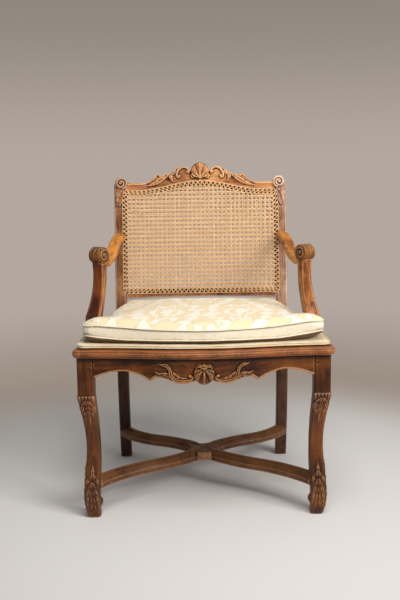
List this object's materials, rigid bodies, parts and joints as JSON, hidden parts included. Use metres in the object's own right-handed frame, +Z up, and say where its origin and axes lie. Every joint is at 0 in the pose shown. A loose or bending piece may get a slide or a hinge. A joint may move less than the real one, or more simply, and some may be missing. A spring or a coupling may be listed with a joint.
{
  "type": "caned open armchair",
  "caption": "Carved walnut open armchair with cabriole front legs, caned back and seat, scrolled arms, crossed serpentine stretcher, thin seat pad and loose winged damask cushion",
  "frame": {"origin": "On the floor, under the middle of the chair's overall box", "axes": "+Z up; the sitter faces -Y; +X is the right-hand side of the chair seen from the front"},
  "size_m": [0.6602, 0.584, 0.9113],
  "materials": {
    "walnut": "waxed, worn on the edges",
    "walnut_dull": "dry waxed",
    "peg_wood": "end grain",
    "cane": "aged glossy cane",
    "cane_binder": "aged glossy cane",
    "pad_cloth": "plain woven",
    "damask": "woven damask"
  },
  "bodies": {
    "frame": {"arm_left": "walnut", "arm_right": "walnut", "arm_support_left": "walnut", "arm_support_right": "walnut", "back_bottom_rail": "walnut", "back_cane_binder": "cane_binder", "back_cane_front": "cane", "back_cane_rear": "cane", "crest_rail": "walnut", "front_apron": "walnut", "front_leg_left": "walnut", "front_leg_right": "walnut", "joint_pegs": "peg_wood", "rear_apron": "walnut_dull", "rear_post_left": "walnut", "rear_post_right": "walnut", "seat_cane": "cane", "seat_cane_binder": "cane_binder", "seat_frame_front": "walnut", "seat_frame_left": "walnut", "seat_frame_rear": "walnut", "seat_frame_right": "walnut", "seat_pad": "pad_cloth", "side_apron_left": "walnut", "side_apron_right": "walnut", "stretcher_left_to_right": "walnut_dull", "stretcher_right_to_left": "walnut_dull"},
    "cushion": {"seat_cushion": "damask"}
  },
  "joints": [
    {"name": "cushion_pull", "type": "slide", "parent": "frame", "child": "cushion", "axis": [0, -1, 0], "range_m": [0, 0.5]}
  ]
}
